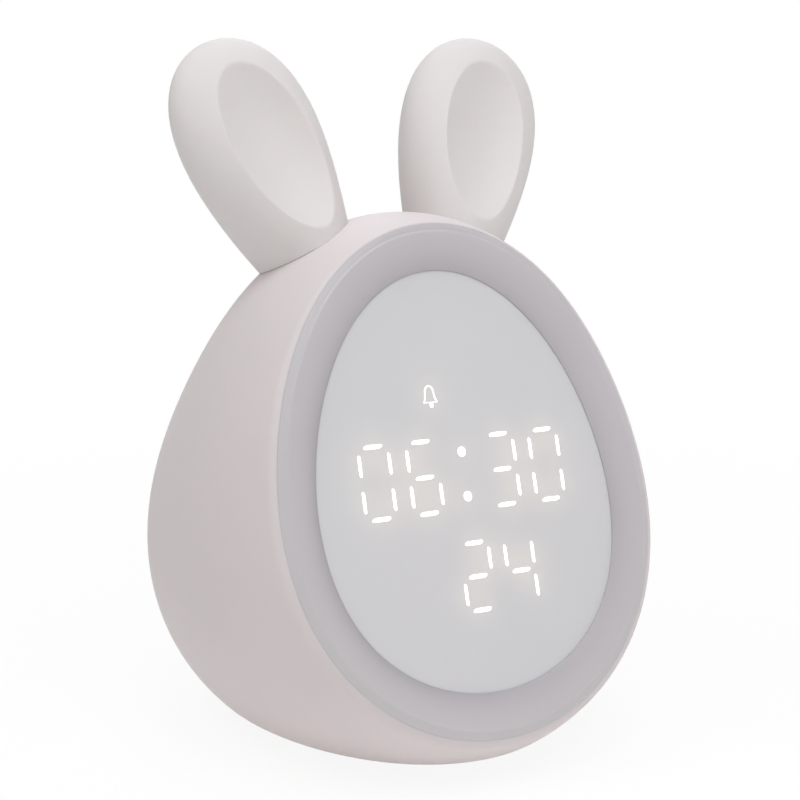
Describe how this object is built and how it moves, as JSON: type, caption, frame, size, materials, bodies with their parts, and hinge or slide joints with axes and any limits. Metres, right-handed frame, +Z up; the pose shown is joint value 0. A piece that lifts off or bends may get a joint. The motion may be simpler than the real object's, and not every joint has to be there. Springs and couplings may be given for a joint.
{
  "type": "kids alarm clock with night light",
  "caption": "Free-standing bedside alarm clock for children: egg-shaped body with two ears, glowing face ring, lit digits, and controls on the rear cover.",
  "frame": {"origin": "centre of the bounding box, on the surface the clock stands on", "axes": "+Z up; the display faces -Y and leans back; +X is to the right of someone who looks at the display"},
  "size_m": [0.1096, 0.0963, 0.1597],
  "materials": {
    "body_abs": "satin moulded ABS, pale lilac white",
    "ear_abs": "satin moulded ABS, warm white",
    "diffuser_ring": "matte translucent polycarbonate, light grey when unlit",
    "display_pmma": "milk-white PMMA, matte",
    "button_silicone": "matte silicone, pale lilac grey",
    "foot_rubber": "matte non-slip rubber",
    "mask_white": "white reflective polycarbonate",
    "board_green": "glass-epoxy board with green solder mask",
    "chip_black": "black moulding compound",
    "socket_cream": "cream nylon",
    "lamp_white": "clear epoxy over white lamps",
    "screw_steel": "zinc-plated steel",
    "usb_steel": "stainless steel shell",
    "speaker_black": "black moulded plastic",
    "cone_paper": "dark treated paper",
    "magnet_steel": "nickel-plated magnet cup",
    "cell_foil": "laminated aluminium foil pouch",
    "tray_abs": "white ABS",
    "ribbon_pvc": "grey flat cable",
    "lead_red": "red and black PVC insulation"
  },
  "bodies": {
    "clock": {"body_shell": "body_abs", "rear_cover": "body_abs", "cover_screws": "screw_steel", "foot_pad": "foot_rubber", "face_ring": "diffuser_ring", "display_plate": "display_pmma", "segment_mask": "mask_white", "display_board": "board_green", "display_screws": "screw_steel", "segment_leds": "lamp_white", "night_light_leds": "lamp_white", "display_driver": "chip_black", "display_socket": "socket_cream", "display_ribbon": "ribbon_pvc", "main_board": "board_green", "main_board_screws": "screw_steel", "processor": "chip_black", "clock_crystal": "screw_steel", "main_sockets": "socket_cream", "usb_socket": "usb_steel", "tact_switches": "chip_black", "alarm_switch_body": "chip_black", "speaker_frame": "speaker_black", "speaker_cone": "cone_paper", "speaker_magnet": "magnet_steel", "speaker_screws": "screw_steel", "speaker_lead": "lead_red", "battery_cell": "cell_foil", "battery_tray": "tray_abs", "tray_screws": "screw_steel", "battery_lead": "lead_red", "left_ear": "ear_abs", "right_ear": "ear_abs", "ear_screws": "screw_steel", "ear_washers": "screw_steel"},
    "set_key": {"set_button": "button_silicone", "set_plunger": "chip_black"},
    "plus_key": {"plus_button": "button_silicone", "plus_plunger": "chip_black"},
    "minus_key": {"minus_button": "button_silicone", "minus_plunger": "chip_black"},
    "alarm_key": {"alarm_button": "button_silicone", "alarm_plunger": "chip_black"},
    "light_key": {"light_button": "button_silicone", "light_plunger": "chip_black"},
    "alarm_switch": {"alarm_switch_knob": "button_silicone", "alarm_switch_slider": "socket_cream"}
  },
  "joints": [
    {"name": "set_press", "type": "slide", "parent": "clock", "child": "set_key", "axis": [0, -1, 0], "range_m": [0, 0.0005], "stiffness_N_per_m": 800, "springref_m": -0.001},
    {"name": "plus_press", "type": "slide", "parent": "clock", "child": "plus_key", "axis": [0, -1, 0], "range_m": [0, 0.0005], "stiffness_N_per_m": 800, "springref_m": -0.001},
    {"name": "minus_press", "type": "slide", "parent": "clock", "child": "minus_key", "axis": [0, -1, 0], "range_m": [0, 0.0005], "stiffness_N_per_m": 800, "springref_m": -0.001},
    {"name": "alarm_press", "type": "slide", "parent": "clock", "child": "alarm_key", "axis": [0, -1, 0], "range_m": [0, 0.0005], "stiffness_N_per_m": 800, "springref_m": -0.001},
    {"name": "light_press", "type": "slide", "parent": "clock", "child": "light_key", "axis": [0, -1, 0], "range_m": [0, 0.0005], "stiffness_N_per_m": 800, "springref_m": -0.001},
    {"name": "alarm_slide", "type": "slide", "parent": "clock", "child": "alarm_switch", "axis": [1, 0, 0], "range_m": [0, 0.0025]}
  ]
}
